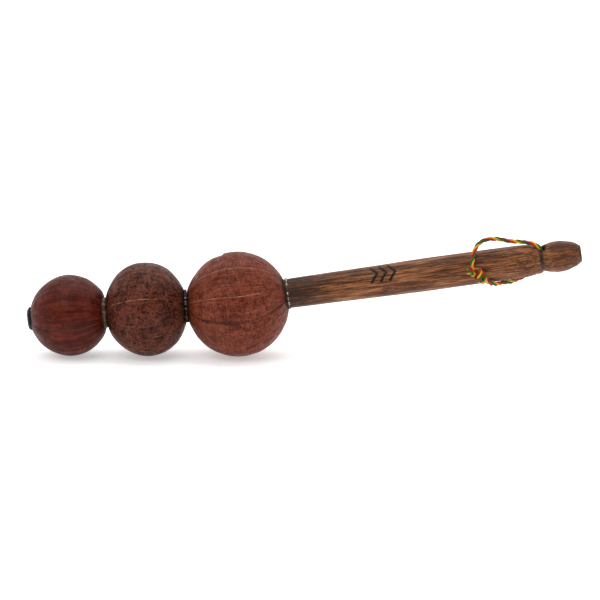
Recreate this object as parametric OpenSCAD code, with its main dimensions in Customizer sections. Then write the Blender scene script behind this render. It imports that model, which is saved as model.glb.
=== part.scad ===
/* [Shells] */
// Radius of the small shell across its axis
small_r = 22.7; // [22:0.1:23.5]
// Half the length of the small shell along its axis
small_half = 22.1; // [21.5:0.1:22.5]
// Radius of the medium shell across its axis
medium_r = 26.2; // [25.5:0.1:27]
// Half the length of the medium shell along its axis
medium_half = 23.2; // [22.8:0.1:23.6]
// Radius of the large shell across its axis
large_r = 29.2; // [28.5:0.1:30]
// Half the length of the large shell along its axis
large_half = 28.7; // [28.2:0.1:29.2]
// Thickness of the shells' woody wall
wall = 4; // [3.6:0.1:4.1]

/* [Places] */
// Distance of the small shell's centre from the middle of the length
small_place = 129.5; // [129:0.1:130]
// Distance of the medium shell's centre from the middle of the length
medium_place = 87.2; // [87:0.1:87.5]
// Distance of the large shell's centre from the middle of the length
large_place = 36.7; // [36.4:0.1:37]

/* [Stick] */
// Radius of the stick at its tip, inside the small shell
tip_r = 6.1; // [5.5:0.1:6.3]
// Radius of the stick at its bend, inside the large shell
bend_r = 7.65; // [7:0.05:8]
// Radius of the handle's straight grip
grip_r = 9.15; // [8.9:0.05:9.4]
// Distance from the bend to where the straight grip starts
grip_from = 116; // [100:1:120]
// Distance from the bend to the shoulder before the neck
grip_to = 168.5; // [167:0.5:170]
// Radius of the neck
neck_r = 6.2; // [5.8:0.1:6.6]
// Distance from the bend to the neck
neck_at = 182.3; // [182:0.1:183]
// Largest radius of the end knob
knob_r = 8.55; // [8:0.05:9]
// Distance from the bend to the knob's end face
knob_end = 204.4; // [203:0.1:205]
// Radius of the knob's flat end face
knob_face_r = 4.6; // [4:0.1:5]
// Slope of the handle above the level surface, in degrees
handle_slope = 8; // [7.5:0.1:8.5]

/* [Cord] */
// Radius of the twisted wrist cord
cord_r = 1.2; // [1:0.1:1.3]
// Radius of the hole for the cord through the neck
hole_r = 1.6; // [1.5:0.1:2]
// Distance from the bend to the cord hole, at the knob's edge of the neck
hole_at = 183.1; // [182.8:0.1:183.3]
// Turn of the cord hole from upright, towards the front, in degrees
hole_turn = 20; // [15:1:25]

/* [Rattle stones] */
// Radius of a stone across
stone_r = 2.8; // [2.4:0.1:2.8]
// Half the length of a stone
stone_half = 3.4; // [2.8:0.1:3.4]
// Distance between neighbouring stones along a shell's axis
stone_step = 6.2; // [6.1:0.1:6.3]

/* [Hidden] */
$fn = 64;

// Each shell rests on the level surface, so its centre is as high as its radius.
small_centre = [-small_place, 0, small_r];
medium_centre = [-medium_place, 0, medium_r];
large_centre = [-large_place, 0, large_r];

// The stick runs straight from the tip through the small and medium shells and
// bends slightly upwards inside the large shell.
core_slope = atan2(medium_r - small_r, small_place - medium_place);
bend_x = -49.8;
bend = [bend_x, 0, medium_r + (bend_x + medium_place) * tan(core_slope)];
tip_x = -151.3;
core_length = (bend_x - tip_x) / cos(core_slope);
handle_dir = [cos(handle_slope), 0, sin(handle_slope)];
medium_slope = 7;
large_slope = 8;

// The glued joints between the shells, as distances back from the bend along the core.
// Each has half the thickness of its glue ring on either side.
joint_small_medium = 59.8;
joint_medium_large = 15.2;
half_glue_small = 0.5;
half_glue_large = 0.25;
bore_gap = 0.15;

function point_on_handle(along) = bend + along * handle_dir;

// Puts the local Z axis along the X axis, tilted up by slope.
module lay(at, slope) {
    translate(at)
        rotate([0, 90 - slope, 0])
            children();
}

module spheroid(r, half) {
    rotate_extrude()
        intersection() {
            scale([r, half])
                circle(r = 1);
            translate([0, -half])
                square([r, 2 * half]);
        }
}

// The tapered core that carries the three shells, grown by gap all round. As a cutter it
// runs on past the tip by extra.
past_tip = 5;
module core(gap, extra) {
    lay(bend, core_slope)
        translate([0, 0, -core_length - extra])
            cylinder(h = core_length + extra, r1 = tip_r + gap, r2 = bend_r + gap);
}

// Radius of the shoulder between the grip and the neck: a quarter ellipse, drawn by angle.
shoulder_length = neck_at - grip_to;
shoulder_steps = 8;
function shoulder_point(i) =
    let (a = 90 * i / shoulder_steps)
    [neck_r + (grip_r - neck_r) * cos(a), grip_to + shoulder_length * sin(a)];

// The knob's barrel is part of an ellipse, from the neck to the end face.
knob_mid = 191.8;
knob_half = 14.8;
knob_steps = 12;
knob_edge = 0.8;
knob_from = neck_at + 0.4;
function knob_radius(along) = knob_r * sqrt(max(0, 1 - pow((along - knob_mid) / knob_half, 2)));
function knob_point(i) =
    let (along = knob_from + (knob_end - knob_edge - knob_from) * i / knob_steps)
    [max(knob_face_r, knob_radius(along)), along];

module handle_profile() {
    polygon(concat(
        [[0, 0], [bend_r, 0], [grip_r, grip_from]],
        [for (i = [0 : shoulder_steps]) shoulder_point(i)],
        [for (i = [0 : knob_steps]) knob_point(i)],
        [[knob_face_r, knob_end], [0, knob_end]]
    ));
}

// The hole crosses the neck at right angles to the handle, with worn, flared mouths.
mouth_flare = 1.1;
mouth_depth = 1.6;
module cord_hole() {
    translate(point_on_handle(hole_at))
        rotate([0, -handle_slope, 0])
            rotate([hole_turn, 0, 0]) {
                cylinder(h = 4 * neck_r, r = hole_r, center = true);
                for (end = [0, 1])
                    mirror([0, 0, end])
                        translate([0, 0, neck_r - mouth_depth])
                            cylinder(h = 3 * mouth_depth, r1 = hole_r, r2 = hole_r + 3 * mouth_flare);
            }
}

module stick() {
    color("peru")
        difference() {
            union() {
                core(0, 0);
                lay(bend, handle_slope)
                    rotate_extrude()
                        handle_profile();
                translate(bend)
                    sphere(r = bend_r);
            }
            cord_hole();
        }
}

// Everything on one side of a joint, from the face of its glue ring outwards.
beyond_length = 40;
beyond_r = 30;
module beyond(joint, half_glue, side) {
    lay(bend, core_slope)
        translate([0, 0, -joint - side * half_glue])
            mirror([0, 0, side < 0 ? 1 : 0])
                cylinder(h = beyond_length, r = beyond_r);
}

module handle_bore(gap) {
    lay(bend, handle_slope)
        cylinder(h = grip_from, r1 = bend_r + gap, r2 = grip_r + gap);
}

module hollow_shell(centre, slope, r, half) {
    difference() {
        lay(centre, slope)
            spheroid(r, half);
        lay(centre, slope)
            spheroid(r - wall, half - wall);
        core(bore_gap, past_tip);
        children();
    }
}

module shell_small() {
    color("saddlebrown")
        hollow_shell(small_centre, core_slope, small_r, small_half)
            beyond(joint_small_medium, half_glue_small, 1);
}

module shell_medium() {
    color("sienna")
        hollow_shell(medium_centre, medium_slope, medium_r, medium_half) {
            beyond(joint_small_medium, half_glue_small, -1);
            beyond(joint_medium_large, half_glue_large, 1);
        }
}

module shell_large() {
    color("indianred")
        hollow_shell(large_centre, large_slope, large_r, large_half) {
            beyond(joint_medium_large, half_glue_large, -1);
            handle_bore(bore_gap);
        }
}

// A dome of hardened sealant on the stick's tip, lapping over the edge of the shell's hole.
seal_r = 6.6;
seal_height = 1.8;
seal_sphere_r = (pow(seal_r, 2) + pow(seal_height, 2)) / (2 * seal_height);
seal_sides = 160;
seal_spare = 1;
module tip_seal() {
    color("black")
        lay(bend, core_slope)
            translate([0, 0, -core_length - seal_height])
                intersection() {
                    translate([0, 0, seal_sphere_r])
                        sphere(r = seal_sphere_r, $fn = seal_sides);
                    cylinder(h = seal_height, r = seal_r + seal_spare);
                }
}

// A flat ring of glue round the core, between the ends of two shells.
glue_small_r = 8.6;
glue_large_r = 8.8;
module glue_ring(joint, half_glue, outer_r) {
    difference() {
        lay(bend, core_slope)
            translate([0, 0, -joint - half_glue])
                cylinder(h = 2 * half_glue, r = outer_r);
        core(bore_gap, past_tip);
    }
}

module glue_small_medium() {
    color("darkkhaki")
        glue_ring(joint_small_medium, half_glue_small, glue_small_r);
}

module glue_medium_large() {
    color("dimgray")
        glue_ring(joint_medium_large, half_glue_large, glue_large_r);
}

// A thin bead of glue round the handle, just outside the large shell.
handle_bead_at = 41.3;
handle_bead_r = 9.3;
handle_bead_height = 0.8;
module glue_handle() {
    color("gainsboro")
        difference() {
            lay(point_on_handle(handle_bead_at), handle_slope)
                cylinder(h = handle_bead_height, r = handle_bead_r);
            handle_bore(bore_gap);
        }
}

// The cord's closed route: from the middle of the hole out of its upper mouth, over the
// handle, down its front into the knot, then back below the handle to the lower mouth.
CORD_ROUTE = [
    [131.2, 0, 54.7],
    [131.05, -0.8, 56.9],
    [130.7, -1.75, 58.9],
    [129.7, -2.6, 61.1],
    [127.6, -2.6, 62.8],
    [124.7, -2, 63.8],
    [120, -1.3, 64.3],
    [113, -1, 64.8],
    [107.5, -1, 65.8],
    [102.8, -1.2, 66],
    [99.3, -1.8, 65.4],
    [96.3, -2.8, 63.8],
    [94.3, -4.4, 61.4],
    [93.2, -6.2, 58.6],
    [92.6, -8.3, 56.2],
    [92.2, -10.2, 54],
    [92.6, -11.8, 51.8],
    [94, -12.5, 49.9],
    [95.6, -12.6, 48.2],
    [97.8, -12.2, 46.3],
    [99.8, -10.8, 44.5],
    [101.8, -8.4, 42.8],
    [103.8, -6, 41.8],
    [106.5, -3.6, 41.3],
    [110.3, 0.2, 41.2],
    [115, 3.4, 41.2],
    [119.5, 6.2, 42.4],
    [124, 7.2, 44.2],
    [128, 5.8, 45.6],
    [131, 3.6, 47],
    [131.9, 2.05, 49.1],
    [131.7, 1.3, 51.2],
    [131.4, 0.65, 53]
];
cord_sides = 8;
cord_parts = 2;

// A smooth closed curve through the route: point number i of a leg, at t from 0 to 1.
function leg_point(route, i, t) =
    let (
        n = len(route),
        p0 = route[(i + n - 1) % n],
        p1 = route[i % n],
        p2 = route[(i + 1) % n],
        p3 = route[(i + 2) % n]
    )
    (2 * p1 + (p2 - p0) * t + (2 * p0 - 5 * p1 + 4 * p2 - p3) * pow(t, 2)
        + (3 * p1 - p0 - 3 * p2 + p3) * pow(t, 3)) / 2;
function unit(v) = v / norm(v);

module closed_tube(route, r) {
    rings = [for (i = [0 : len(route) - 1], k = [0 : cord_parts - 1]) leg_point(route, i, k / cord_parts)];
    n = len(rings);
    points = [
        for (i = [0 : n - 1])
            let (
                ahead = unit(rings[(i + 1) % n] - rings[(i + n - 1) % n]),
                side = unit(cross(ahead, [0, 1, 0])),
                other = cross(side, ahead)
            )
            for (k = [0 : cord_sides - 1])
                let (a = 360 * k / cord_sides)
                rings[i] + r * (cos(a) * side + sin(a) * other)
    ];
    faces = [
        for (i = [0 : n - 1], k = [0 : cord_sides - 1])
            let (j = (i + 1) % n, m = (k + 1) % cord_sides)
            [i * cord_sides + k, i * cord_sides + m, j * cord_sides + m, j * cord_sides + k]
    ];
    polyhedron(points = points, faces = faces);
}

module wrist_cord() {
    color("gold")
        closed_tube(CORD_ROUTE, cord_r);
}

// The knot that joins the cord's two ends in front of the handle, with its two short tails.
knot_centre = [95.7, -12.3, 48.1];
knot_way = [6.7, 0.7, -5.7];
knot_r = 2.9;
knot_half = 6.2;
tail_roots = [[90.4, -12.2, 53.2], [90.4, -12.9, 50.6]];
tail_tips = [[88, -11.8, 52.9], [88.3, -12.3, 49.6]];
tail_taper = 0.2;

// Puts the local Z axis along way.
module point_along(at, way) {
    translate(at)
        rotate([0, acos(way[2] / norm(way)), atan2(way[1], way[0])])
            children();
}

module cord_knot() {
    color("orangered")
        point_along(knot_centre, knot_way)
            spheroid(knot_r, knot_half);
}

module cord_tails() {
    color("green")
        for (i = [0, 1])
            point_along(tail_roots[i], tail_tips[i] - tail_roots[i])
                cylinder(h = norm(tail_tips[i] - tail_roots[i]), r1 = cord_r, r2 = cord_r - tail_taper);
}

// A stone lies at the bottom of its shell, number i of count along the shell's axis.
stone_gap = 0.5;
function stone_along(i, count) = (i - (count + 1) / 2) * stone_step;
function stone_out(along, r, half) =
    let (room = wall + stone_r + stone_gap)
    (r - room) * sqrt(1 - pow(along / (half - room), 2));

module stone(centre, slope, r, half, i, count) {
    along = stone_along(i, count);
    out = stone_out(along, r, half);
    color("slategray")
        lay(centre, slope)
            translate([out, 0, along])
                rotate([90, 0, 0])
                    spheroid(stone_r, stone_half);
}

small_count = 4;
medium_count = 5;
large_count = 6;
module stone_small(i) {
    stone(small_centre, core_slope, small_r, small_half, i, small_count);
}
module stone_medium(i) {
    stone(medium_centre, medium_slope, medium_r, medium_half, i, medium_count);
}
module stone_large(i) {
    stone(large_centre, large_slope, large_r, large_half, i, large_count);
}

stick();
shell_small();
shell_medium();
shell_large();
tip_seal();
glue_small_medium();
glue_medium_large();
glue_handle();
wrist_cord();
cord_knot();
cord_tails();
stone_small(1);  // stone_small_1
stone_small(2);  // stone_small_2
stone_small(3);  // stone_small_3
stone_small(4);  // stone_small_4
stone_medium(1);  // stone_medium_1
stone_medium(2);  // stone_medium_2
stone_medium(3);  // stone_medium_3
stone_medium(4);  // stone_medium_4
stone_medium(5);  // stone_medium_5
stone_large(1);  // stone_large_1
stone_large(2);  // stone_large_2
stone_large(3);  // stone_large_3
stone_large(4);  // stone_large_4
stone_large(5);  // stone_large_5
stone_large(6);  // stone_large_6
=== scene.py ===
"""Looks of the triple-shell hand rattle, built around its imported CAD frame. Shapes are worked out in
millimetres in the frame's own axes, and MM turns them into metres."""
import math

import bmesh
import bpy
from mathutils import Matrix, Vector, noise


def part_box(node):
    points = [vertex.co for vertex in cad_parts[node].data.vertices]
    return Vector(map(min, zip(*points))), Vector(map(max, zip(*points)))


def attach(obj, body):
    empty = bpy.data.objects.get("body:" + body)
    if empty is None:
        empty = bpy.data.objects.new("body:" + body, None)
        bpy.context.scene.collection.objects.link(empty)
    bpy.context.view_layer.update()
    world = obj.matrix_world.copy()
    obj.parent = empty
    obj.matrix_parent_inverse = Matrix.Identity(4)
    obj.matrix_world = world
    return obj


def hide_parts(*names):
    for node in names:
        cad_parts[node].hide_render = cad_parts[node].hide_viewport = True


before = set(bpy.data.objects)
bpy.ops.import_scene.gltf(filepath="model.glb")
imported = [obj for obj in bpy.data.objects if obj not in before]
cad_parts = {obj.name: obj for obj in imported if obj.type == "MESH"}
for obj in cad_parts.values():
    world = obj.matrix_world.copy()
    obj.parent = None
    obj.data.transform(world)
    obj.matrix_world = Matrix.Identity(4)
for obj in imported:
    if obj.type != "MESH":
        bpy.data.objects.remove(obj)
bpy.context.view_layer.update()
MM = 0.001

# ---------------------------------------------------------------- camera

VIEW_ELEVATION = math.radians(12)
VIEW_DISTANCE = 1842 * MM
AIM = Vector((-2.2, 0, 31.4)) * MM

look = Vector((0, math.cos(VIEW_ELEVATION), -math.sin(VIEW_ELEVATION)))
camera = bpy.data.objects.new("camera", bpy.data.cameras.new("camera"))
bpy.context.scene.collection.objects.link(camera)
camera.data.lens = 200
camera.data.sensor_width = 36
camera.location = AIM - look * VIEW_DISTANCE
camera.rotation_mode = "QUATERNION"
camera.rotation_quaternion = look.to_track_quat("-Z", "Y")
bpy.context.scene.camera = camera

# ---------------------------------------------------------------- dimensions, as in the CAD part

SHELLS = {
    "small": {"centre": (-129.5, 0, 22.7), "r": 22.7, "half": 22.1, "slope": 4.73},
    "medium": {"centre": (-87.2, 0, 26.2), "r": 26.2, "half": 23.2, "slope": 7},
    "large": {"centre": (-36.7, 0, 29.2), "r": 29.2, "half": 28.7, "slope": 8},
}
WALL = 4
CORE_SLOPE = math.radians(4.73)
HANDLE_SLOPE = math.radians(8)
BEND = Vector((-49.8, 0, 29.29))
CORE_LENGTH = 101.85
TIP_R = 6.1
BEND_R = 7.65
GRIP_R = 9.15
GRIP_FROM = 116
GRIP_TO = 168.5
NECK_R = 6.2
NECK_AT = 182.3
KNOB_R = 8.55
KNOB_MID = 191.8
KNOB_HALF = 14.8
KNOB_END = 204.4
KNOB_FACE_R = 4.6
HOLE_R = 1.6
HOLE_AT = 183.1
HOLE_TURN = math.radians(20)
CORD_R = 1.2


def direction(slope):
    return Vector((math.cos(slope), 0, math.sin(slope)))


def upright(slope):
    return Vector((-math.sin(slope), 0, math.cos(slope)))


CORE_DIR = direction(CORE_SLOPE)
HANDLE_DIR = direction(HANDLE_SLOPE)
FRONT = Vector((0, -1, 0))

# ---------------------------------------------------------------- small helpers


def smooth(low, high, x):
    t = min(1, max(0, (x - low) / (high - low)))
    return t * t * (3 - 2 * t)


def mix(a, b, t):
    return a + (b - a) * t


def rough(point, size, octaves=4):
    """Fractal noise of about -1 to 1 whose lumps are size millimetres across."""
    return noise.fractal(Vector(point) / size, 1.0, 2.0, octaves)


def build(name, points, faces, materials, face_slots=None):
    """A mesh object from points in millimetres."""
    mesh = bpy.data.meshes.new(name)
    mesh.from_pydata([tuple(Vector(p) * MM) for p in points], [], faces)
    for material in materials:
        mesh.materials.append(material)
    if face_slots:
        mesh.polygons.foreach_set("material_index", face_slots)
    mesh.polygons.foreach_set("use_smooth", [True] * len(mesh.polygons))
    mesh.update()
    piece = bpy.data.objects.new(name, mesh)
    bpy.context.scene.collection.objects.link(piece)
    return piece


def paint(piece, name, values):
    """Stores one number, or one vector, for each vertex, for the materials to read."""
    vector = hasattr(values[0], "__len__")
    kind, key = ("FLOAT_VECTOR", "vector") if vector else ("FLOAT", "value")
    layer = piece.data.attributes.new(name, kind, "POINT")
    layer.data.foreach_set(key, [x for v in values for x in v] if vector else values)


def ring_faces(rows, columns, start=0, closed=False):
    """Quads that join rows of columns points each, round and round."""
    quads = []
    for i in range(rows if closed else rows - 1):
        a, b = start + i * columns, start + (i + 1) % rows * columns
        for k in range(columns):
            m = (k + 1) % columns
            quads.append((a + k, a + m, b + m, b + k))
    return quads


def stand_in(piece, body, slot, *nodes):
    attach(piece, body)
    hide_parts(*nodes)


# ---------------------------------------------------------------- material helpers


class Shader:
    """A short way to write node trees round one Principled shader."""

    def __init__(self, name, roughness=0.5, **settings):
        self.material = bpy.data.materials.new(name)
        self.material.use_nodes = True
        self.tree = self.material.node_tree
        self.shader = self.tree.nodes["Principled BSDF"]
        self.shader.inputs["Roughness"].default_value = roughness
        for key, value in settings.items():
            self.shader.inputs[key.replace("_", " ").title().replace("Ior", "IOR")].default_value = value

    def node(self, kind, inputs=(), **settings):
        made = self.tree.nodes.new("ShaderNode" + kind)
        for key, value in settings.items():
            setattr(made, key, value)
        for key, value in dict(inputs).items():
            self.feed(made.inputs[key], value)
        return made

    def feed(self, socket, value):
        if isinstance(value, bpy.types.NodeSocket):
            self.tree.links.new(value, socket)
        else:
            socket.default_value = value

    def read(self, name):
        made = self.node("Attribute", attribute_name=name)
        return made.outputs["Fac"]

    def read_vector(self, name):
        return self.node("Attribute", attribute_name=name).outputs["Vector"]

    def stretch(self, vector, scale):
        return self.node("Mapping", {"Vector": vector, "Scale": scale}).outputs["Vector"]

    def noise(self, vector, scale=1.0, detail=4.0, roughness=0.55, distortion=0.0):
        inputs = {
            "Vector": vector,
            "Scale": scale,
            "Detail": detail,
            "Roughness": roughness,
            "Distortion": distortion,
        }
        return self.node("TexNoise", inputs).outputs["Fac"]

    def cells(self, vector):
        """The distance to the nearest border between cells about one unit wide."""
        inputs = {"Vector": vector, "Scale": 1.0}
        return self.node("TexVoronoi", inputs, feature="DISTANCE_TO_EDGE").outputs["Distance"]

    def math(self, operation, a, b=0.0, c=0.0):
        return self.node("Math", {0: a, 1: b, 2: c}, operation=operation).outputs[0]

    def range(self, value, low, high, to_low=0.0, to_high=1.0):
        inputs = {
            "Value": value,
            "From Min": low,
            "From Max": high,
            "To Min": to_low,
            "To Max": to_high,
        }
        return self.node("MapRange", inputs, interpolation_type="SMOOTHSTEP").outputs["Result"]

    def ramp(self, value, *stops):
        made = self.node("ValToRGB", {"Fac": value})
        elements = made.color_ramp.elements
        while len(elements) < len(stops):
            elements.new(0.5)
        for element, (place, colour) in zip(elements, stops):
            element.position = place
            element.color = (*colour, 1)
        return made.outputs["Color"]

    def blend(self, amount, a, b, kind="MIX"):
        made = self.node("Mix", data_type="RGBA", blend_type=kind)
        for key, value in ((0, amount), (6, a), (7, b)):
            self.feed(made.inputs[key], (*value, 1) if isinstance(value, tuple) else value)
        return made.outputs[2]

    def finish(self, colour, roughness=None, height=None, depth=0.1 * MM, strength=1.0):
        self.feed(self.shader.inputs["Base Color"], colour)
        if roughness is not None:
            self.feed(self.shader.inputs["Roughness"], roughness)
        if height is not None:
            bump = self.node("Bump", {"Height": height, "Distance": depth, "Strength": strength})
            self.feed(self.shader.inputs["Normal"], bump.outputs["Normal"])
        return self.material


# ---------------------------------------------------------------- cord: route and ropes

# The same route as in the CAD part, in metres.
CORD_ROUTE = [
    (0.1312, 0, 0.0547),
    (0.13105, -0.0008, 0.0569),
    (0.1307, -0.00175, 0.0589),
    (0.1297, -0.0026, 0.0611),
    (0.1276, -0.0026, 0.0628),
    (0.1247, -0.002, 0.0638),
    (0.12, -0.0013, 0.0643),
    (0.113, -0.001, 0.0648),
    (0.1075, -0.001, 0.0658),
    (0.1028, -0.0012, 0.066),
    (0.0993, -0.0018, 0.0654),
    (0.0963, -0.0028, 0.0638),
    (0.0943, -0.0044, 0.0614),
    (0.0932, -0.0062, 0.0586),
    (0.0926, -0.0083, 0.0562),
    (0.0922, -0.0102, 0.054),
    (0.0926, -0.0118, 0.0518),
    (0.094, -0.0125, 0.0499),
    (0.0956, -0.0126, 0.0482),
    (0.0978, -0.0122, 0.0463),
    (0.0998, -0.0108, 0.0445),
    (0.1018, -0.0084, 0.0428),
    (0.1038, -0.006, 0.0418),
    (0.1065, -0.0036, 0.0413),
    (0.1103, 0.0002, 0.0412),
    (0.115, 0.0034, 0.0412),
    (0.1195, 0.0062, 0.0424),
    (0.124, 0.0072, 0.0442),
    (0.128, 0.0058, 0.0456),
    (0.131, 0.0036, 0.047),
    (0.1319, 0.00205, 0.0491),
    (0.1317, 0.0013, 0.0512),
    (0.1314, 0.00065, 0.053),
    (0.13122, 0.0001, 0.0545),
]
CORD_LAY = 11.6
STRAND_SIDES = 12
ROPE_STEP = 0.45


def through(points, steps):
    """A smooth open line through the points, with steps parts to each leg."""
    ends = [points[0] * 2 - points[1], *points, points[-1] * 2 - points[-2]]
    line = []
    for p0, p1, p2, p3 in zip(ends, ends[1:], ends[2:], ends[3:]):
        for k in range(steps):
            t = k / steps
            line.append(
                (
                    2 * p1
                    + (p2 - p0) * t
                    + (2 * p0 - 5 * p1 + 4 * p2 - p3) * t**2
                    + (3 * p1 - p0 - 3 * p2 + p3) * t**3
                )
                / 2
            )
    return [*line, points[-1].copy()]


def length_of(line):
    return sum((b - a).length for a, b in zip(line, line[1:]))


def evenly(line, step):
    """The same line with points step millimetres apart."""
    total = length_of(line)
    count = max(2, round(total / step))
    made, i, gone = [line[0].copy()], 0, 0.0
    for k in range(1, count):
        want = total * k / count
        while gone + (line[i + 1] - line[i]).length < want:
            gone += (line[i + 1] - line[i]).length
            i += 1
        piece = line[i + 1] - line[i]
        made.append(line[i] + piece * ((want - gone) / piece.length))
    return [*made, line[-1].copy()]


def carried_frames(line):
    """A tangent and two crosswise directions at each point, carried along without twisting."""
    tangents = []
    for i in range(len(line)):
        ahead = line[min(i + 1, len(line) - 1)] - line[max(i - 1, 0)]
        tangents.append(ahead.normalized())
    side = tangents[0].cross(Vector((0.1, 1, 0.2))).normalized()
    frames = []
    for t in tangents:
        side = (side - t * side.dot(t)).normalized()
        frames.append((t, side, t.cross(side)))
    return frames


def tube(line, radius, points, faces, along):
    """Adds a capped round tube to points and faces. radius is a function of the distance along."""
    start, gone, sides = len(points), 0.0, STRAND_SIDES
    for i, (p, (_, side, other)) in enumerate(zip(line, carried_frames(line))):
        gone += (p - line[i - 1]).length if i else 0
        r = radius(gone)
        for k in range(sides):
            a = 2 * math.pi * k / sides
            points.append(p + (side * math.cos(a) + other * math.sin(a)) * r)
            along.append((gone, k / sides, 0))
    faces += ring_faces(len(line), sides, start)
    for row, flip in ((0, True), (len(line) - 1, False)):
        cap = [start + row * sides + k for k in range(sides)]
        faces.append(tuple(reversed(cap)) if flip else tuple(cap))


def rope(name, line, radius, lay, first_turn, splay=0.0):
    """Three strands twisted along line, one turn to each lay. splay opens them towards the end."""
    strand_r = radius / (1 + 2 / math.sqrt(3))
    helix_r = radius - strand_r
    line = evenly(line, ROPE_STEP)
    frames = carried_frames(line)
    points, faces, along, slots = [], [], [], []
    for s in range(3):
        gone, strand = 0.0, []
        for i, (p, (_, side, other)) in enumerate(zip(line, frames)):
            gone += (p - line[i - 1]).length if i else 0
            a = 2 * math.pi * (gone / lay + s / 3) + first_turn
            a += 0.25 * noise.noise(Vector((gone / 6, s * 3.1, radius)))
            away = helix_r * (1 + splay * smooth(0.5, 1, i / (len(line) - 1)))
            strand.append(p + (side * math.cos(a) + other * math.sin(a)) * away)
        before = len(faces)

        def uneven_r(d, s=s):
            return strand_r * (1.06 + 0.06 * noise.noise(Vector((d / 1.7, s, 4))))

        tube(strand, uneven_r, points, faces, along)
        slots += [s] * (len(faces) - before)
    piece = build(name, points, faces, YARNS, slots)
    paint(piece, "strand", along)
    return piece


FIBRES = 4


def yarn(name, dark, light):
    """Twisted thread: fine slanted fibres over one dyed colour, with painted shade in the grooves between
    the fibres and random fuzz.
    """
    s = Shader(name, roughness=0.55, specular_ior_level=0.2, sheen_weight=0.05, sheen_roughness=0.4)
    place = s.read_vector("strand")
    split = s.node("SeparateXYZ", {0: place})
    slant = s.math("MULTIPLY_ADD", split.outputs["X"], 0.55, split.outputs["Y"])
    fibres = s.math("ABSOLUTE", s.math("SINE", s.math("MULTIPLY", slant, FIBRES * 2 * math.pi)))
    fuzz = s.noise(place, 3.0, 5.0, 0.7)
    # The fibre stripes, which are also the bump, set painted shade in the grooves between fibres.
    tone = s.math("MULTIPLY_ADD", fibres, 0.45, s.math("MULTIPLY", fuzz, 0.6))
    colour = s.ramp(tone, (0.15, dark), (0.75, light))
    return s.finish(colour, height=fibres, depth=0.12 * MM, strength=0.9)


# Each yarn: its dye darkened as painted shade, then the dye itself.
YARNS = [
    yarn("red_yarn", (0.16, 0.002, 0.003), (0.62, 0.016, 0.012)),
    yarn("yellow_yarn", (0.55, 0.14, 0.003), (0.98, 0.50, 0.014)),
    yarn("green_yarn", (0.001, 0.035, 0.009), (0.010, 0.19, 0.034)),
]

cord_line = through([Vector(p) / MM for p in CORD_ROUTE], 8)
wrist_loop = rope("wrist_loop", cord_line, CORD_R, CORD_LAY, first_turn=1.0)

# The knot: one end wraps twice round the other and is locked by a short loop across the wraps, and
# both cut ends stick out to the left.
KNOT_CENTRE = Vector((95.7, -12.3, 48.1))
KNOT_WAY = Vector((6.7, 0.7, -5.7)).normalized()
KNOT_HALF = 4.3
KNOT_TURNS = 2.1
KNOT_FIRST_TURN = 0.1
WRAP_STEPS = 48
WRAP_R, WRAP_LAY = 1.08, 8.5
LOCK_R, LOCK_LAY = 0.92, 7.0
TAIL_R, TAIL_LAY = 1.0, 6.5
knot_out = Vector((0, -1, 0))
knot_out = (knot_out - KNOT_WAY * knot_out.dot(KNOT_WAY)).normalized()
knot_across = KNOT_WAY.cross(knot_out)


def knot_point(along, turn, out):
    """A point round the knot: along from -1 to 1, turn in whole turns from the front, out in mm."""
    a = 2 * math.pi * turn
    aside = knot_out * math.cos(a) + knot_across * math.sin(a)
    return KNOT_CENTRE + KNOT_WAY * along * KNOT_HALF + aside * out


wrap_line = [Vector((91.8, -13.2, 51.4))]
for k in range(WRAP_STEPS + 1):
    t = k / WRAP_STEPS
    lean = 0.20 * math.sin(2 * math.pi * (KNOT_TURNS * t + 0.3))
    swell = 2.0 + 0.55 * math.sin(math.pi * t) + 0.15 * noise.noise(Vector((9 * t, 2, 0)))
    wrap_line.append(knot_point(mix(-0.85, 0.9, t) + lean, KNOT_FIRST_TURN + KNOT_TURNS * t, swell))
wrap_line.append(knot_point(1.1, KNOT_FIRST_TURN + KNOT_TURNS, 1.0))
knot_wrap = rope("knot_wrap", wrap_line, WRAP_R, WRAP_LAY, first_turn=2.2)
lock_route = [
    knot_point(0.55, 0.42, 1.7),
    knot_point(0.62, 0.28, 3.0),
    knot_point(0.30, 0.10, 3.5),
    knot_point(-0.10, -0.06, 3.6),
    knot_point(-0.50, -0.22, 3.0),
    knot_point(-0.62, -0.40, 1.8),
]
knot_lock = rope("knot_lock", through(lock_route, 10), LOCK_R, LOCK_LAY, first_turn=0.4)

TAIL_ROUTES = (
    [(93.2, -13.0, 51.0), (91.8, -13.3, 51.9), (90.6, -12.9, 52.3), (89.3, -12.3, 52.3)],
    [(93.0, -13.6, 50.3), (91.8, -13.9, 50.3), (90.7, -13.4, 49.9), (89.9, -12.7, 49.4)],
)
tails = []
for i, route in enumerate(TAIL_ROUTES):
    tail_line = through([Vector(p) for p in route], 6)
    tails.append(rope(f"cord_tail_{i + 1}", tail_line, TAIL_R, TAIL_LAY, i * 2.1, splay=0.7))

# ---------------------------------------------------------------- shells

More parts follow.
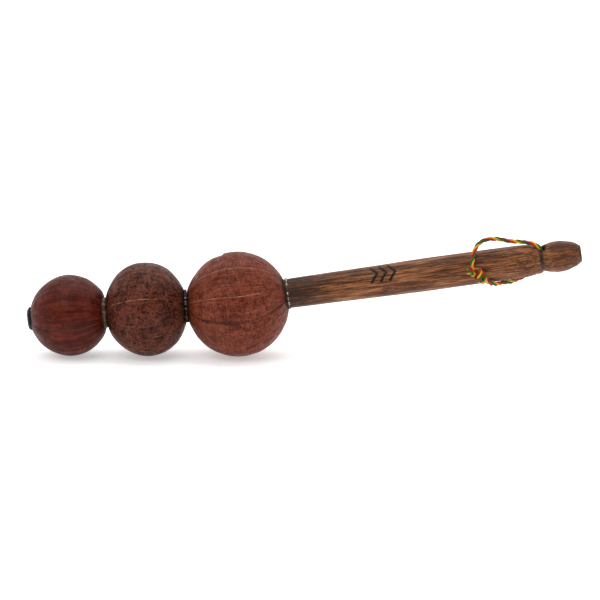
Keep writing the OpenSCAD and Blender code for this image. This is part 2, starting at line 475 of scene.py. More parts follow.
# Seams of the fruit, from pole to pole: degrees above the line of sight, width in mm, darkness from
# 0 (cream) to 1 (black), and where along the shell each starts and ends, from -1 to 1.
SEAMS = {
    "small": [
        (66.5, 0.35, 0, -0.1, 1),
        (63, 0.3, 0.3, -0.8, 0.9),
        (-22.4, 0.7, 0.85, -1, 1),
        (101, 0.4, 0, -1, 1),
        (138, 0.6, 0.8, -1, 1),
        (174, 0.4, 0, -1, 1),
        (-147, 0.4, 0, -1, 0.7),
        (-110, 0.8, 0.9, -1, 1),
        (-66, 0.4, 0, -1, 1),
    ],
    "medium": [
        (53.5, 0.4, 0.2, -1, 1),
        (12.3, 0.45, 0, -1, 0.3),
        (-22.4, 0.6, 0.75, -1, 1),
        (-38, 0.35, 0.4, 0.2, 1),
        (88, 0.4, 0, -1, 1),
        (123, 0.7, 0.9, -1, 1),
        (160, 0.4, 0, -1, 1),
        (-166, 0.4, 0, -1, 1),
        (-131, 0.6, 0.7, -1, 1),
        (-98, 0.4, 0, -1, 0.6),
        (-64, 0.4, 0, -1, 1),
    ],
    "large": [
        (43, 0.45, 0.15, -1, 1),
        (7.5, 0.45, 0, -1, 0.5),
        (-11, 0.35, 0.2, 0.1, 0.7),
        (-20.7, 1.1, 0.95, -1, 1),
        (-19.2, 0.2, 0.2, -0.9, -0.3),
        (-46.5, 0.35, 0.55, -0.5, 0.3),
        (79, 0.45, 0, -1, 1),
        (113, 0.8, 0.9, -1, 1),
        (147, 0.45, 0, -1, 1),
        (-179, 0.45, 0, -1, 1),
        (-146, 0.6, 0.6, -1, 1),
        (-111, 0.45, 0, -1, 1),
        (-77, 0.45, 0, -1, 1),
    ],
}
# The slopes towards the shell's two holes, left and right, in degrees.
HOLE_SLOPES = {"small": (4.73, 4.73), "medium": (4.73, 4.73), "large": (2.37, 11.8)}
# Where the shells meet: the distance back from the bend, and half of the gap between them.
JOINTS = {"small_medium": (59.8, 0.5), "medium_large": (15.2, 0.25)}
# Where the handle leaves the large shell, from the bend.
SHELL_END_AT = 41
BORE_GAP = 0.2
PLAIN_STEP = 2.5
SEAM_STEPS = (-1.7, -1.1, -0.6, -0.25, 0.25, 0.6, 1.1, 1.7)
SEAM_REACH = 4
LEAST_STEP = 0.2
RIBS = 11
ROWS_OUT = 120
ROWS_IN = 16
FLAKE_X = -44.4
FLAKE_DEPTH = 0.75
SIGHT = math.degrees(VIEW_ELEVATION)


def on_core(back):
    return BEND - CORE_DIR * back


def core_r(back):
    return mix(BEND_R, TIP_R, back / CORE_LENGTH)


def columns_of(seams):
    """Longitudes in degrees above the line of sight: even ones, and close ones at each seam."""
    angles = [a + step for a, *_ in seams for step in SEAM_STEPS]
    close = [a for a, *_ in seams]
    k = 0.0
    while k < 360:
        if all(abs((k - a + 180) % 360 - 180) > SEAM_STEPS[-1] + 0.5 for a in close):
            angles.append(k)
        k += PLAIN_STEP
    angles = sorted(a % 360 for a in angles)
    kept = [angles[0]]
    for a in angles[1:]:
        if a - kept[-1] > LEAST_STEP:
            kept.append(a)
    return kept


def shell_cuts(kind):
    """Planes that end the shell at its joints: a point and the outward normal of each."""
    cuts = []
    if kind == "small":
        back, half = JOINTS["small_medium"]
        cuts.append((on_core(back + half), CORE_DIR))
    if kind == "medium":
        back, half = JOINTS["small_medium"]
        cuts.append((on_core(back - half), -CORE_DIR))
        back, half = JOINTS["medium_large"]
        cuts.append((on_core(back + half), CORE_DIR))
    if kind == "large":
        back, half = JOINTS["medium_large"]
        cuts.append((on_core(back - half), -CORE_DIR))
    return cuts


def make_shell(kind, material):
    shape = SHELLS[kind]
    centre, r, half = Vector(shape["centre"]), shape["r"], shape["half"]
    slope = math.radians(shape["slope"])
    along, up = direction(slope), upright(slope)
    left, right = (math.radians(a) for a in HOLE_SLOPES[kind])
    seams, cuts = SEAMS[kind], shell_cuts(kind)
    angles = columns_of(seams)
    seed = 7.3 * r

    def place(sine, angle, shrink):
        """A point of the surface, where sine runs from -1 at the left pole to 1 at the right."""
        lean = mix(left, right, smooth(-1, 1, sine))
        ring = math.sqrt(1 - sine * sine)
        a = math.radians(angle + SIGHT)
        unit = direction(lean) * sine + (FRONT * math.cos(a) + upright(lean) * math.sin(a)) * ring
        return Vector(
            (unit.dot(along) * (half - shrink), unit.y * (r - shrink), unit.dot(up) * (r - shrink))
        )

    def sine_at(bore, shrink):
        return math.sqrt(1 - (bore / (r - shrink)) ** 2)

    bore_left = core_r(CORE_LENGTH if kind == "small" else JOINTS["small_medium"][0]) + BORE_GAP
    bore_right = core_r(JOINTS["small_medium"][0]) + BORE_GAP
    if kind == "medium":
        bore_right = core_r(JOINTS["medium_large"][0]) + BORE_GAP
    if kind == "large":
        bore_left = core_r(JOINTS["medium_large"][0]) + BORE_GAP
        bore_right = BEND_R + (GRIP_R - BEND_R) * SHELL_END_AT / GRIP_FROM + BORE_GAP
    points, light, dark, edge_dirt_and_shade, grain = [], [], [], [], []
    for surface, rows, shrink in (("out", ROWS_OUT, 0), ("in", ROWS_IN, WALL)):
        first = -math.asin(sine_at(bore_left, shrink))
        last = math.asin(sine_at(bore_right, shrink))
        for i in range(rows):
            t = i / (rows - 1)
            latitude = mix(first, last, t if surface == "out" else 1 - t)
            sine = math.sin(latitude)
            for angle in angles:
                lit, shade, relief = 0.0, 0.0, 0.0
                a = math.radians(angle)
                around = math.cos(a) * 1.5, math.sin(a) * 1.5
                wave = noise.noise(Vector((*around, latitude * 1.8 + seed)))
                local = place(sine, angle + 1.3 * wave, shrink)
                if surface == "out":
                    for at, width, darkness, start, end in seams:
                        off = abs((angle - at + 180) % 360 - 180)
                        if off > SEAM_REACH:
                            continue
                        off = math.radians(off) * r
                        reach = smooth(start - 0.12, start + 0.05, sine)
                        reach *= 1 - smooth(end - 0.05, end + 0.12, sine)
                        breaks = noise.noise(Vector((latitude * 7, at, seed)))
                        breaks += 0.5 * noise.noise(Vector((latitude * 34, at, seed)))
                        broken = smooth(-0.35, 0.30, breaks)
                        mark = (1 - smooth(width / 4, width / 2 + 0.04, off)) * reach
                        band = (1 - smooth(width / 4, width / 2 + 0.55, off)) * reach
                        shade = max(shade, band * darkness * mix(0.4, 1, broken))
                        lit = max(lit, mark * (1 - darkness) * mix(0.15, 1, broken))
                        groove = (0.1 + 0.22 * darkness) * reach * (1 - smooth(0, width / 2 + 0.7, off))
                        relief = max(relief, groove)
                    outward = Vector((local.x / half**2, local.y / r**2, local.z / r**2)).normalized()
                    uneven = 0.34 * rough(local + Vector((seed, 0, 0)), 16, 3) - 0.12
                    ribs = 0.10 * math.cos(math.radians(angle * RIBS)) * (1 - sine * sine)
                    local = local + outward * (uneven + ribs - relief)
                spot = centre + along * local.x + Vector((0, 1, 0)) * local.y + up * local.z
                if kind == "small" and sine > 0:
                    # The rim round the hole is worn back on the near side, where glue fills the gap.
                    rim = 1 - smooth(8.6, 11.8, r * math.sqrt(1 - sine * sine))
                    near = 0.5 + 0.5 * math.cos(math.radians(angle + SIGHT))
                    spot -= along * (rim * (0.2 + 3.3 * near**1.5))
                if kind == "large" and surface == "out":
                    # A flake of the skin is gone at the top, left of a short step.
                    high = 1 - smooth(20, 38, abs((angle + SIGHT - 90 + 180) % 360 - 180))
                    past = FLAKE_X - spot.x
                    spot -= up * (FLAKE_DEPTH * high * smooth(0, 0.9, past) * (1 - smooth(1, 11, past)))
                for at, normal in cuts:
                    over = (spot - at).dot(normal)
                    if over > 0:
                        spot -= normal * over
                points.append(spot)
                light.append(lit)
                dark.append(shade)
                # Darker towards the rims where the shells meet, and all over the inside wall: part dirt,
                # part painted shade.
                edge = min(abs(latitude - first), abs(last - latitude)) * half
                edge_dirt_and_shade.append(1 - smooth(1.0, 5.5, edge) if surface == "out" else 1.0)
                grain.append((latitude * half + seed, r * math.cos(a), r * math.sin(a)))
    rows = ROWS_OUT + ROWS_IN
    faces = [tuple(reversed(f)) for f in ring_faces(rows, len(angles), closed=True)]
    piece = build(f"fruit_shell_{kind}", points, faces, [material])
    for name, values in (("seam_light", light), ("seam_dark", dark), ("edge_dirt_and_shade", edge_dirt_and_shade), ("grain", grain)):
        paint(piece, name, values)
    return piece


def shell_skin(name, colours, blotch, hatch, crackle, least_roughness):
    """Polished fruit skin: blotches, streaks, fine scratches and nicks, and the seams themselves."""
    s = Shader(name, specular_ior_level=0.09, coat_weight=0.035, coat_roughness=0.18)
    grain = s.read_vector("grain")
    dark, middle, light = colours
    patches, mottle, streak, grit = blotch
    blotches = s.noise(grain, 0.17, 4.0, 0.62, 0.6)
    fine = s.noise(grain, 0.75, 4.0, 0.7, 0.3)
    streaks = s.noise(s.stretch(grain, (0.045, 0.45, 0.45)), 1.0, 5.0, 0.62)
    grains = s.noise(grain, 1.7, 3.0, 0.7)
    tone = 0.5
    for share, pattern in ((patches, blotches), (mottle, fine), (streak, streaks), (grit, grains)):
        tone = s.math("MULTIPLY_ADD", s.range(pattern, 0.36, 0.64, -0.5, 0.5), share, tone)
    colour = s.ramp(tone, (0.18, dark), (0.5, middle), (0.82, light))
    lengthwise = s.noise(s.stretch(grain, (0.10, 1.25, 1.25)), 1.0, 4.0, 0.65)
    crosswise = s.noise(s.stretch(grain, (1.35, 0.12, 0.12)), 1.0, 4.0, 0.65)
    linen = s.math("MULTIPLY", s.math("ADD", lengthwise, crosswise), 0.5)
    pale = tuple(min(1, c * 1.45 + 0.02) for c in light)
    deep = tuple(c * 0.42 for c in dark)
    colour = s.blend(s.math("MULTIPLY", s.range(linen, 0.50, 0.62), hatch), colour, pale)
    colour = s.blend(s.math("MULTIPLY", s.range(linen, 0.49, 0.39), hatch), colour, deep)
    wander = s.node("TexNoise", {"Vector": grain, "Scale": 0.35, "Detail": 3.0}).outputs["Color"]
    warped = s.node("VectorMath", {0: wander, 1: (5, 5, 5), 2: grain}, operation="MULTIPLY_ADD").outputs[0]
    cracked = s.range(s.cells(s.stretch(warped, (0.30, 0.42, 0.42))), 0.085, 0.0)
    cracked = s.math("MULTIPLY", cracked, s.range(s.noise(grain, 0.12, 3.0), 0.38, 0.56))
    colour = s.blend(s.math("MULTIPLY", cracked, crackle), colour, pale)
    nicks = s.range(s.cells(s.stretch(warped, (0.62, 0.85, 0.85))), 0.14, 0.02)
    nicks = s.math("MULTIPLY", nicks, s.range(s.noise(grain, 0.5, 3.0, 0.7), 0.42, 0.58))
    bare = tuple(c * 1.6 for c in light)
    colour = s.blend(s.math("MULTIPLY", nicks, 0.75 * crackle), colour, bare)
    speckle = s.range(s.noise(grain, 1.3, 3.0, 0.7), 0.57, 0.68)
    colour = s.blend(s.math("MULTIPLY", speckle, 0.35), colour, deep)
    # Near-black at the joint rims and on the inside wall, part dirt and part painted shade.
    colour = s.blend(s.math("MULTIPLY", s.read("edge_dirt_and_shade"), 0.8), colour, (0.012, 0.006, 0.004))
    colour = s.blend(s.math("MULTIPLY", s.read("seam_dark"), 0.85), colour, (0.008, 0.005, 0.004))
    colour = s.blend(s.math("MULTIPLY", s.read("seam_light"), 0.7), colour, (0.44, 0.24, 0.15))
    rough_amount = s.math("ADD", blotches, linen)
    rough_amount = s.range(rough_amount, 0.85, 1.15, least_roughness + 0.2, least_roughness)
    height = s.math("MULTIPLY_ADD", linen, hatch * 2, s.math("MULTIPLY", cracked, -0.4))
    height = s.math("MULTIPLY_ADD", s.noise(grain, 0.9, 4.0), 0.9, height)
    return s.finish(colour, rough_amount, height, depth=0.18 * MM, strength=0.8)


# Each skin: its dark, middle and light colours, then how strong its patches, mottling, streaks and
# grit are, how hatched and how cracked it is, and its least roughness.
SKINS = {
    "small": (
        ((0.044, 0.0040, 0.0018), (0.075, 0.0080, 0.0033), (0.120, 0.0190, 0.0085)),
        (0.35, 0.20, 0.50, 0.12),
        0.16, 0.10, 0.34,
    ),
    "medium": (
        ((0.011, 0.0016, 0.0008), (0.022, 0.0034, 0.0014), (0.110, 0.0250, 0.0108)),
        (0.65, 0.40, 0.05, 0.30),
        0.35, 1.0, 0.38,
    ),
    "large": (
        ((0.060, 0.0085, 0.0034), (0.116, 0.0190, 0.0082), (0.200, 0.0450, 0.0215)),
        (0.45, 0.50, 0.30, 0.40),
        0.50, 0.45, 0.40,
    ),
}
for kind, skin in SKINS.items():
    shell = make_shell(kind, shell_skin(f"{kind}_shell_skin", *skin))
    stand_in(shell, "rattle", f"{kind}_shell", f"shell_{kind}")

# ---------------------------------------------------------------- stick

# Three burnt chevrons round MARK_AT, at MARK_ANGLE degrees above the line of sight.
MARK_AT = 95
MARK_ANGLE = 39
MARK_STEP = 5
MARK_HALF = 4.6
MARK_POINT = 3.4
MARK_REACH = 12
MARK_WIDE = 34


def stick_r(u):
    """The stick's radius at u millimetres from the bend, with u below 0 on the core's side."""
    if u < 0:
        return core_r(-u)
    if u < GRIP_FROM:
        return mix(BEND_R, GRIP_R, u / GRIP_FROM)
    if u < GRIP_TO:
        return GRIP_R
    if u < NECK_AT:
        t = (u - GRIP_TO) / (NECK_AT - GRIP_TO)
        return NECK_R + (GRIP_R - NECK_R) * math.sqrt(1 - t * t)
    barrel = KNOB_R * math.sqrt(max(0, 1 - ((u - KNOB_MID) / KNOB_HALF) ** 2))
    edge = smooth(KNOB_END - 0.9, KNOB_END, u)
    return mix(max(barrel, KNOB_FACE_R), KNOB_FACE_R, edge)


def to_segment(x, y, ax, ay, bx, by):
    """The distance from x, y to the line from ax, ay to bx, by."""
    t = ((x - ax) * (bx - ax) + (y - ay) * (by - ay)) / ((bx - ax) ** 2 + (by - ay) ** 2)
    t = min(1, max(0, t))
    return math.hypot(x - mix(ax, bx, t), y - mix(ay, by, t))


def burnt(u, arc):
    """How deep in the burnt chevrons a spot is, from 0 to 1."""
    if abs(u - MARK_AT) > MARK_REACH or abs(arc) > 6:
        return 0.0
    near = 9.0
    for k in (-1, 0, 1):
        tip = MARK_AT + k * MARK_STEP + 1.6
        for side in (-1, 1):
            near = min(near, to_segment(u, arc, tip, 0, tip - MARK_POINT, side * MARK_HALF))
    return 1 - smooth(0.45, 0.95, near + 0.22 * noise.noise(Vector((u, arc, 3))))


def make_stick(material):
    """The stick as rings along its length, closer together where there is detail, with closed ends."""
    rows = [-CORE_LENGTH + k * CORE_LENGTH / 26 for k in range(26)]
    u = 0.0
    while u < KNOB_END:
        rows.append(u)
        fine = MARK_AT - MARK_REACH < u < MARK_AT + MARK_REACH
        u += 0.32 if fine else 0.5 if u > GRIP_TO else 3.0 if u < 34 else 1.1
    rows.append(KNOB_END)
    angles, a = [], -180.0
    while a < 180:
        angles.append(a)
        a += 1.9 if abs(a - MARK_ANGLE) < MARK_WIDE else 4.5
    points = []
    for u in rows:
        for angle in angles:
            a = math.radians(angle)
            r = stick_r(u)
            seen = smooth(30, 36, u)
            # The handle is slightly uneven, with a few shallow hollows along the grain.
            lift = 0.16 * rough((u * 0.16, r * math.cos(a), r * math.sin(a)), 7, 3) * seen
            # The shoulder and the knob are whittled, with shallow cuts.
            cut_zone = smooth(GRIP_TO - 4, GRIP_TO + 3, u) * (1 - smooth(KNOB_END - 0.6, KNOB_END, u))
            cuts = abs(noise.noise(Vector((u / 4.2, math.cos(a) * 2.1, math.sin(a) * 2.1))))
            lift -= 0.55 * cuts * cut_zone
            ridge = noise.noise(Vector((u / 34, math.cos(a) * 4.4, math.sin(a) * 4.4)))
            lift -= 0.20 * smooth(0.25, 0.5, ridge) * seen * (1 - cut_zone)
            arc = math.radians(angle - MARK_ANGLE) * r
            lift -= 0.32 * burnt(u, arc)
            spot_dir = HANDLE_DIR if u >= 0 else CORE_DIR
            up = upright(HANDLE_SLOPE if u >= 0 else CORE_SLOPE)
            points.append(BEND + spot_dir * u + (FRONT * math.cos(a) + up * math.sin(a)) * (r + lift))
    columns = len(angles)
    faces = ring_faces(len(rows), columns)
    for row, first in ((0, True), (len(rows) - 1, False)):
        # Closed ends: rings that shrink to a middle point.
        base = row * columns
        middle = sum((points[base + k] for k in range(columns)), Vector()) / columns
        last = [base + k for k in range(columns)]
        for share in (0.75, 0.5, 0.25):
            start = len(points)
            points += [middle + (points[base + k] - middle) * share for k in range(columns)]
            ring = [start + k for k in range(columns)]
            for k in range(columns):
                m = (k + 1) % columns
                quad = (last[k], ring[k], ring[m], last[m])
                faces.append(quad if first else tuple(reversed(quad)))
            last = ring
        points.append(middle)
        for k in range(columns):
            m = (k + 1) % columns
            tri = (last[k], len(points) - 1, last[m])
            faces.append(tri if first else tuple(reversed(tri)))
    faces = [tuple(reversed(f)) for f in faces]
    stick = build("carved_stick", points, faces, [material])
    drill_hole(stick)
    paint_stick(stick)
    return stick


HOLE_MIDDLE = BEND + HANDLE_DIR * HOLE_AT
HOLE_DIR = (upright(HANDLE_SLOPE) * math.cos(HOLE_TURN) + FRONT * math.sin(HOLE_TURN)).normalized()
# Distance along the hole from its middle, and radius.
HOLE_MOUTH = [(4.2, HOLE_R), (5.6, 1.9), (7.2, 2.9), (12, 5.0)]


def drill_hole(stick):
    """Cuts the cord's hole, with worn, flared mouths."""
    points = []
    profile = [(-at, r) for at, r in reversed(HOLE_MOUTH)] + HOLE_MOUTH
    side = HANDLE_DIR
    other = HOLE_DIR.cross(side)
    sides = 32
    for at, r in profile:
        for k in range(sides):
            a = 2 * math.pi * k / sides
            points.append(HOLE_MIDDLE + HOLE_DIR * at + (side * math.cos(a) + other * math.sin(a)) * r)
    faces = ring_faces(len(profile), sides)
    faces.append(tuple(reversed(range(sides))))
    faces.append(tuple((len(profile) - 1) * sides + k for k in range(sides)))
    tool = build("drill", points, faces, [])
    modifier = stick.modifiers.new("hole", "BOOLEAN")
    modifier.operation = "DIFFERENCE"
    modifier.solver = "EXACT"
    modifier.object = tool
    graph = bpy.context.evaluated_depsgraph_get()
    drilled = bpy.data.meshes.new_from_object(stick.evaluated_get(graph), depsgraph=graph)
    stick.modifiers.clear()
    stick.data = drilled
    bpy.data.objects.remove(tool)


def paint_stick(stick):
    """Works out from each point's place where the wood is burnt, dirty, cut across or rubbed, and where
    shade is painted in the neck's groove and round the cord's hole.
    """
    wood, burn, dirt_and_neck_shade, hole_shade, end, worn = [], [], [], [], [], []
    for vertex in stick.data.vertices:
        spot = vertex.co / MM - BEND
        u = spot.dot(HANDLE_DIR)
        up = upright(HANDLE_SLOPE)
        if u < 0:
            u, up = spot.dot(CORE_DIR), upright(CORE_SLOPE)
        front, high = spot.dot(FRONT), spot.dot(up)
        a = math.atan2(high, front)
        wood.append((u, front, high))
        burn.append(burnt(u, (a - math.radians(MARK_ANGLE)) * stick_r(u)))
        smudge = (1 - smooth(46, 72, u + 9 * noise.noise(Vector((a * 2.2, u / 9, 1))))) * 0.85
        # The neck's groove is darkened as painted shade, on top of the dirt near the shell.
        off = abs(u - NECK_AT)
        neck = 0.85 * (1 - smooth(0.3, 1.5, off)) + 0.3 * (1 - smooth(0, 4, off))
        dirt_and_neck_shade.append(max(smudge, min(1, neck)))
        # Round and inside the cord's hole, near-black as painted shade.
        from_hole = spot - (HOLE_MIDDLE - BEND)
        from_hole -= HOLE_DIR * from_hole.dot(HOLE_DIR)
        hole_shade.append(1 - smooth(2.0, 3.4, from_hole.length))
        end.append(smooth(KNOB_END - 2.2, KNOB_END - 0.3, u))
        worn.append(smooth(KNOB_MID - 5, KNOB_MID, u) * (1 - smooth(KNOB_END - 4, KNOB_END - 1, u)))
    layers = {"wood": wood, "burn": burn, "dirt_and_neck_shade": dirt_and_neck_shade, "hole": hole_shade, "end": end, "worn": worn}
    for name, values in layers.items():
        paint(stick, name, values)


def handle_wood():
    """Oiled wood with streaks, dashes and pores along the grain, and rings on the knob's end."""
    s = Shader("handle_wood", specular_ior_level=0.18, coat_weight=0.03, coat_roughness=0.3)
    wood = s.read_vector("wood")
    figure = s.noise(s.stretch(wood, (0.020, 0.34, 0.34)), 1.0, 5.0, 0.62, 0.6)
    streaks = s.noise(s.stretch(wood, (0.060, 1.35, 1.35)), 1.0, 5.0, 0.7, 0.3)
    tone = s.math("MULTIPLY_ADD", streaks, 0.6, s.math("MULTIPLY", figure, 0.4))
    colour = s.ramp(
        tone,
        (0.42, (0.040, 0.0115, 0.0036)),
        (0.47, (0.105, 0.0330, 0.0100)),
        (0.53, (0.220, 0.0740, 0.0235)),
        (0.60, (0.415, 0.1700, 0.0650)),
    )
    dark_dashes = s.range(s.noise(s.stretch(wood, (0.11, 1.5, 1.5)), 1.0, 3.0, 0.65), 0.56, 0.66)
    colour = s.blend(s.math("MULTIPLY", dark_dashes, 0.75), colour, (0.028, 0.0085, 0.004))
    light_dashes = s.range(s.noise(s.stretch(wood, (0.08, 1.2, 1.2)), 2.0, 3.0, 0.6), 0.60, 0.70)
    colour = s.blend(s.math("MULTIPLY", light_dashes, 0.5), colour, (0.56, 0.29, 0.150))
    pores = s.range(s.noise(s.stretch(wood, (0.25, 3.0, 3.0)), 1.0, 2.0, 0.6), 0.54, 0.66)
    colour = s.blend(s.math("MULTIPLY", pores, 0.45), colour, (0.035, 0.011, 0.005))
    # Dirt near the shell, and painted shade in the neck's groove.
    dirt_and_neck_shade = s.math("MULTIPLY", s.read("dirt_and_neck_shade"), s.range(s.noise(wood, 0.22, 4.0), 0.25, 0.6, 0.5, 0.95))
    colour = s.blend(dirt_and_neck_shade, colour, (0.028, 0.0120, 0.0070))
    across = s.stretch(wood, (0.0, 1.0, 1.0))
    pith = s.node("VectorMath", {0: across, 1: (0, 1.4, -0.9)}, operation="DISTANCE").outputs["Value"]
    wander = s.math("MULTIPLY_ADD", s.noise(wood, 0.35, 3.0), 1.6, pith)
    rings = s.math("MULTIPLY_ADD", s.math("SINE", s.math("MULTIPLY", wander, 7.5)), 0.5, 0.5)
    end_grain = s.ramp(rings, (0.1, (0.036, 0.007, 0.004)), (0.9, (0.105, 0.030, 0.014)))
    colour = s.blend(s.math("MULTIPLY", s.read("end"), 0.85), colour, end_grain)
    colour = s.blend(s.math("MULTIPLY", s.read("worn"), 0.45), colour, (0.080, 0.023, 0.008))
    # Painted shade in the cord's hole.
    colour = s.blend(s.math("MULTIPLY", s.read("hole"), 0.92), colour, (0.012, 0.006, 0.004))
    colour = s.blend(s.read("burn"), colour, (0.006, 0.004, 0.003))
    rough_amount = s.range(tone, 0.42, 0.6, 0.55, 0.40)
    height = s.math("MULTIPLY_ADD", dark_dashes, -0.7, s.math("MULTIPLY", streaks, 1.2))
    return s.finish(colour, rough_amount, height, depth=0.2 * MM, strength=0.8)


stand_in(make_stick(handle_wood()), "rattle", "handle_wood", "stick")

# ---------------------------------------------------------------- glue and sealant


def lumpy_ring(
    name, centre, axis, radius, thick, lump, material, seed,
    wide=1.0, drop=0.0, least=0.55, turns=200, sides=14,
):
    """A ring of squeezed-out glue, with beads about lump mm long. wide stretches it along the axis,
    least is its thickness between beads, and drop thins stretches of it away."""
    side = Vector((0, 1, 0))
    up = axis.cross(side).normalized()
    points, beads = [], []
    for i in range(turns):
        a = 2 * math.pi * i / turns
        out = side * math.cos(a) + up * math.sin(a)
        around = Vector((math.cos(a), math.sin(a), 0)) * radius / lump + Vector((seed, 0, 0))
        bead = smooth(-0.25, 0.45, noise.noise(around))
        kept = 1 - drop * smooth(-0.05, 0.2, noise.noise(around * 0.45 + Vector((0, 9, 0))))
        r = thick * mix(least, 1.15, bead) * kept
        shift = 0.35 * thick * noise.noise(around * 0.8 + Vector((0, 0, 5)))
        for k in range(sides):
            b = 2 * math.pi * k / sides
            grow = 1 + 0.22 * noise.noise(Vector((a * 9, b * 1.4, seed)))
            x, y = r * wide * math.cos(b) * grow + shift, r * math.sin(b) * grow
            points.append(centre + axis * x + out * (radius + y))
            beads.append(bead * kept)
    ring = build(name, points, ring_faces(turns, sides, closed=True), [material])
    face_outwards(ring)
    paint(ring, "lump", [tuple(p) for p in points])
    paint(ring, "bead", beads)
    return ring


def face_outwards(piece):
    """Turns a closed mesh right side out."""
    bm = bmesh.new()
    bm.from_mesh(piece.data)
    bmesh.ops.recalc_face_normals(bm, faces=bm.faces)
    bm.to_mesh(piece.data)
    bm.free()


def glue(name, dark, light, roughness, low, high):
    """Hard glue, dark between the beads, part dirt and part painted shade, and pale on top of them as
    painted highlights.
    """
    s = Shader(name, specular_ior_level=0.4, coat_weight=0.15, coat_roughness=0.08)
    lump = s.read_vector("lump")
    cloud = s.noise(lump, 0.9, 5.0, 0.65, 0.5)
    # Pale on the bead tops as painted highlights.
    bead_highlight = s.range(s.math("MULTIPLY_ADD", cloud, 0.8, s.read("bead")), low, high)
    colour = s.blend(bead_highlight, dark, light)
    dust = s.range(s.noise(lump, 2.2, 3.0, 0.6), 0.55, 0.68)
    colour = s.blend(s.math("MULTIPLY", dust, 0.55), colour, tuple(c * 0.5 for c in dark))
    rough_amount = s.range(cloud, 0.3, 0.7, roughness + 0.25, roughness)
    return s.finish(colour, rough_amount, cloud, depth=0.3 * MM)


BROWN_GLUE = glue("brown_glue", (0.075, 0.036, 0.020), (0.230, 0.130, 0.078), 0.36, 0.3, 1.2)
CLEAR_GLUE = glue("clear_glue", (0.10, 0.065, 0.045), (0.72, 0.66, 0.58), 0.22, 0.5, 1.0)
# Near-black in the narrow gap between the medium and large shells, part grime and part painted shade, with
# painted highlights on the biggest beads.
GRIMY_SHADED_GLUE = glue("grimy_shaded_glue", (0.010, 0.007, 0.005), (0.30, 0.25, 0.24), 0.30, 1.1, 1.4)

collar_at = on_core(JOINTS["small_medium"][0] + 1.5)
collar = lumpy_ring(
    "collar_glue", collar_at, CORE_DIR, 7.6, 1.0, 1.2, BROWN_GLUE, 1.0,
    wide=2.1, least=0.85,
)
stand_in(collar, "rattle", "brown_glue", "glue_small_medium")
waist_at = on_core(JOINTS["medium_large"][0])
waist = lumpy_ring("waist_glue", waist_at, CORE_DIR, 8.6, 0.62, 0.85, GRIMY_SHADED_GLUE, 4.0)
stand_in(waist, "rattle", "brown_glue", "glue_medium_large")
bead_at = BEND + HANDLE_DIR * (SHELL_END_AT + 0.4)
handle_bead = lumpy_ring(
    "handle_glue", bead_at, HANDLE_DIR, 8.4, 0.46, 0.55, CLEAR_GLUE, 8.0,
    drop=0.75, turns=320, sides=10,
)
stand_in(handle_bead, "rattle", "clear_glue", "glue_handle")


def make_seal():
    """A lumpy dome of black sealant over the stick's tip."""
    seal_r, height, skirt = 6.6, 1.8, 0.5
    rows, columns = 21, 72
    tip = BEND - CORE_DIR * CORE_LENGTH
    side, up = FRONT, upright(CORE_SLOPE)
    points = []
    for i in range(rows):
        t = 1 - i / rows
        for k in range(columns):
            a = 2 * math.pi * k / columns
            r = seal_r * t * (1 + 0.03 * noise.noise(Vector((math.cos(a) * 2, math.sin(a) * 2, 3))))
            rise = height * math.sqrt(max(0, 1 - t**2.6)) - skirt * t**8
            rise += 0.22 * rough((r * math.cos(a), r * math.sin(a), 2), 3.4, 2) * (1 - t**6)
            points.append(tip - CORE_DIR * rise + (side * math.cos(a) + up * math.sin(a)) * r)
    faces = ring_faces(rows, columns)
    middle = sum((points[-columns + k] for k in range(columns)), Vector()) / columns
    points.append(middle)
    last = (rows - 1) * columns
    for k in range(columns):
        faces.append((last + k, last + (k + 1) % columns, len(points) - 1))
    back = len(points)
    points.append(tip + CORE_DIR * 0.1)
    for k in range(columns):
        faces.append(((k + 1) % columns, k, back))
    s = Shader("black_sealant", specular_ior_level=0.2)
    spot = s.read_vector("lump")
    cloud = s.noise(spot, 0.5, 5.0, 0.6)
    colour = s.ramp(cloud, (0.35, (0.002, 0.002, 0.002)), (0.7, (0.012, 0.011, 0.010)))
    material = s.finish(colour, s.range(cloud, 0.3, 0.7, 0.35, 0.6), cloud, depth=0.3 * MM)
    seal = build("end_seal", points, faces, [material])
    face_outwards(seal)
    paint(seal, "lump", [tuple(p) for p in points])
    return seal


stand_in(make_seal(), "rattle", "black_sealant", "tip_seal")

# ---------------------------------------------------------------- stones inside the shells


def stone_material():
    s = Shader("pebble", specular_ior_level=0.35)
    spot = s.read_vector("lump")
    cloud = s.noise(spot, 0.5, 6.0, 0.65)
    colour = s.ramp(cloud, (0.3, (0.13, 0.10, 0.08)), (0.5, (0.30, 0.26, 0.21)), (0.7, (0.48, 0.44, 0.38)))
    flecks = s.range(s.noise(spot, 2.2, 2.0), 0.62, 0.72)
    colour = s.blend(flecks, colour, (0.06, 0.05, 0.045))
    return s.finish(colour, s.range(cloud, 0.3, 0.7, 0.6, 0.8), cloud, depth=0.25 * MM)


def make_stone(node, seed, material):
    """A worn pebble within the CAD stone's size."""
    low, high = (Vector(corner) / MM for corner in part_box(node))
    middle, half = (low + high) / 2, (high - low) / 2
    bm = bmesh.new()
    bmesh.ops.create_icosphere(bm, subdivisions=4, radius=1)
    for vertex in bm.verts:
        way = vertex.co.normalized()
        worn = 0.90 + 0.10 * noise.noise(way * 1.1 + Vector((seed, 0, 0)))
        worn += 0.03 * noise.noise(way * 4 + Vector((0, seed, 0)))
        vertex.co = (middle + Vector(way[i] * half[i] * worn for i in range(3))) * MM
    mesh = bpy.data.meshes.new(f"pebble_{node}")
    for face in bm.faces:
        face.smooth = True
    bm.to_mesh(mesh)
    bm.free()
    mesh.materials.append(material)
    stone = bpy.data.objects.new(f"pebble_{node}", mesh)
    bpy.context.scene.collection.objects.link(stone)
    paint(stone, "lump", [tuple(v.co / MM) for v in mesh.vertices])
    return stone


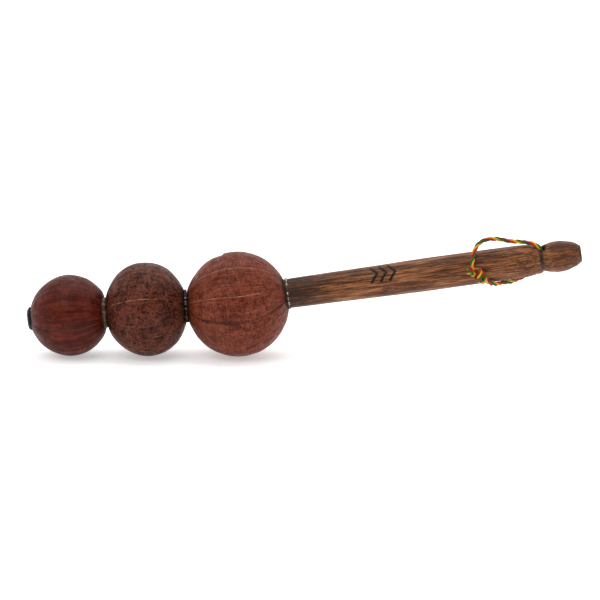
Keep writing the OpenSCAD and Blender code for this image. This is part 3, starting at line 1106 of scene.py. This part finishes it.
PEBBLE = stone_material()
for number, (kind, count) in enumerate((("small", 4), ("medium", 5), ("large", 6))):
    for i in range(1, count + 1):
        node = f"stone_{kind}_{i}"
        stand_in(make_stone(node, 10 * number + i * 1.7, PEBBLE), node, "stone", node)

# ---------------------------------------------------------------- cord joins the frame

stand_in(wrist_loop, "rattle", "twisted_cord", "wrist_cord")
for piece in (knot_wrap, knot_lock):
    stand_in(piece, "rattle", "twisted_cord", "cord_knot")
for piece in tails:
    stand_in(piece, "rattle", "twisted_cord", "cord_tails")
[tuple(p * MM) for p in evenly(cord_line, 2)]

# ---------------------------------------------------------------- floor, lights, world


def floor_material():
    """Pale and a little lit of itself, so that the shadows stay faint."""
    s = Shader("pale_floor", roughness=0.8, specular_ior_level=0.1)
    place = s.node("TexCoord").outputs["Object"]
    cloud = s.noise(place, 3.0, 3.0)
    s.shader.inputs["Emission Color"].default_value = (1, 1, 1, 1)
    s.shader.inputs["Emission Strength"].default_value = 0.4
    return s.finish(s.ramp(cloud, (0.3, (0.93, 0.93, 0.93)), (0.7, (0.96, 0.96, 0.96))))


FLOOR_HALF = 4000
floor_corners = [(x * FLOOR_HALF, y * FLOOR_HALF, 0) for x, y in ((-1, -1), (1, -1), (1, 1), (-1, 1))]
floor = build("floor", floor_corners, [(0, 1, 2, 3)], [floor_material()])


def soft_box(name, place, size, power):
    """A square area light aimed at the rattle's middle."""
    light = bpy.data.lights.new(name, "AREA")
    light.shape = "SQUARE"
    light.size = size
    light.energy = power
    box = bpy.data.objects.new(name, light)
    bpy.context.scene.collection.objects.link(box)
    box.location = place
    box.rotation_mode = "QUATERNION"
    box.rotation_quaternion = (AIM - Vector(place)).to_track_quat("-Z", "Y")


soft_box("key", (-0.4, -0.9, 1.2), 0.9, 6)
soft_box("top", (0.1, 0.3, 1.4), 1.2, 6)

# The studio is white all round, but dim on the camera's side, so the skins keep their depth.
world = bpy.data.worlds.new("studio")
world.use_nodes = True
studio = world.node_tree
backdrop = studio.nodes["Background"]
way = studio.nodes.new("ShaderNodeTexCoord").outputs["Generated"]
facing = studio.nodes.new("ShaderNodeVectorMath")
facing.operation = "DOT_PRODUCT"
facing.inputs[1].default_value = (0, -0.96, 0.28)
studio.links.new(way, facing.inputs[0])
dimming = studio.nodes.new("ShaderNodeMapRange")
dimming.interpolation_type = "SMOOTHSTEP"
for socket, value in (("From Min", 0.1), ("From Max", 0.85), ("To Min", 1.1), ("To Max", 0.22)):
    dimming.inputs[socket].default_value = value
studio.links.new(facing.outputs["Value"], dimming.inputs["Value"])
studio.links.new(dimming.outputs["Result"], backdrop.inputs["Strength"])
backdrop.inputs["Color"].default_value = (1, 1, 1, 1)
bpy.context.scene.world = world
bpy.context.scene.view_settings.view_transform = "Standard"

bpy.context.view_layer.update()
